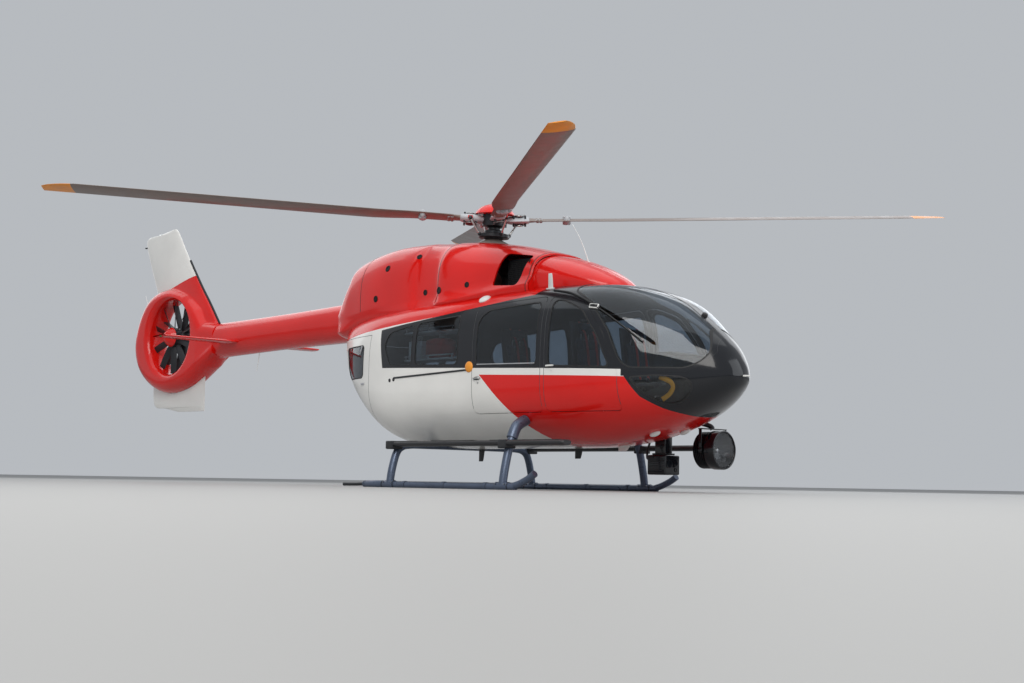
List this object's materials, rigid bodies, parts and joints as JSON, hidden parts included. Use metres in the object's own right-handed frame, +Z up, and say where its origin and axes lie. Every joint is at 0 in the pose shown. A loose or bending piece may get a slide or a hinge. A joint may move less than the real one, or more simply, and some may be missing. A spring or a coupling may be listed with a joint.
{
  "type": "light twin-engined rescue helicopter on skids",
  "caption": "Rescue helicopter on skids with a bearingless main rotor, a ducted tail fan, hinged cockpit doors and rear clamshell doors.",
  "frame": {"origin": "on the floor under the middle of the outline, with the main rotor at rest", "axes": "+X towards the nose, +Y to port, +Z up"},
  "size_m": [12.3134, 8.018, 3.935],
  "materials": {
    "red_paint": "gloss",
    "white_paint": "gloss",
    "black_gloss": "gloss",
    "clear_glass": "polished",
    "gear_tube": "satin",
    "dark_metal": "satin",
    "exhaust_steel": "brushed",
    "blade_skin": "satin",
    "seat_fabric": "matte",
    "panel_black": "matte"
  },
  "bodies": {
    "root": {"attendant_seat": "seat_fabric", "cabin_frame": "red_paint", "camera_box": "black_gloss", "chin_window_left": "clear_glass", "chin_window_right": "clear_glass", "crosstube_front": "gear_tube", "crosstube_rear": "gear_tube", "engine_cowling": "red_paint", "engines_and_gearbox": "dark_metal", "equipment_rack": "white_paint", "exhaust_left": "exhaust_steel", "exhaust_right": "exhaust_steel", "fan_shroud": "red_paint", "fan_stator": "dark_metal", "front_fairing": "red_paint", "instrument_panel": "panel_black", "lower_fin": "white_paint", "lower_fuselage": "red_paint", "nose_shell": "black_gloss", "pilot_seat_left": "seat_fabric", "pilot_seat_right": "seat_fabric", "rear_window_left": "clear_glass", "rear_window_right": "clear_glass", "searchlight": "black_gloss", "skid_left": "dark_metal", "skid_right": "dark_metal", "sliding_door_glass_left": "clear_glass", "sliding_door_glass_right": "clear_glass", "sliding_door_left": "red_paint", "sliding_door_right": "red_paint", "stabilizer_left": "red_paint", "stabilizer_right": "red_paint", "step_left": "dark_metal", "step_right": "dark_metal", "stretcher": "seat_fabric", "tail_boom": "red_paint", "upper_fin": "white_paint", "windshield_left": "clear_glass", "windshield_right": "clear_glass"},
    "main_rotor": {"rotor_mast_and_hub": "dark_metal", "rotor_cap": "red_paint", "rotor_blade_1": "blade_skin", "rotor_blade_2": "blade_skin", "rotor_blade_3": "blade_skin", "rotor_blade_4": "blade_skin"},
    "tail_rotor": {"tail_fan": "dark_metal"},
    "right_cockpit_door": {"cockpit_door_right": "red_paint", "cockpit_door_glass_right": "clear_glass"},
    "right_clamshell": {"clamshell_door_right": "white_paint", "clamshell_glass_right": "clear_glass"},
    "left_cockpit_door": {"cockpit_door_left": "red_paint", "cockpit_door_glass_left": "clear_glass"},
    "left_clamshell": {"clamshell_door_left": "white_paint", "clamshell_glass_left": "clear_glass"}
  },
  "joints": [
    {"name": "main_rotor_spin", "type": "hinge", "parent": "root", "child": "main_rotor", "pos_m": [1.82998, 0, 3.25], "axis": [0.0523, 0, 0.9986], "continuous": true},
    {"name": "tail_fan_spin", "type": "hinge", "parent": "root", "child": "tail_rotor", "pos_m": [-5.13002, -0.06, 2.22], "axis": [0, 1, 0], "continuous": true},
    {"name": "right_cockpit_door_hinge", "type": "hinge", "parent": "root", "child": "right_cockpit_door", "pos_m": [4.52998, -0.866, 1.07], "axis": [0, 0, 1], "range_deg": [0, 80]},
    {"name": "right_clamshell_hinge", "type": "hinge", "parent": "root", "child": "right_clamshell", "pos_m": [0.57998, -0.93, 1.29], "axis": [0, 0, 1], "range_deg": [0, 90]},
    {"name": "left_cockpit_door_hinge", "type": "hinge", "parent": "root", "child": "left_cockpit_door", "pos_m": [4.52998, 0.866, 1.07], "axis": [0, 0, -1], "range_deg": [0, 80]},
    {"name": "left_clamshell_hinge", "type": "hinge", "parent": "root", "child": "left_clamshell", "pos_m": [0.57998, 0.93, 1.29], "axis": [0, 0, -1], "range_deg": [0, 90]}
  ]
}
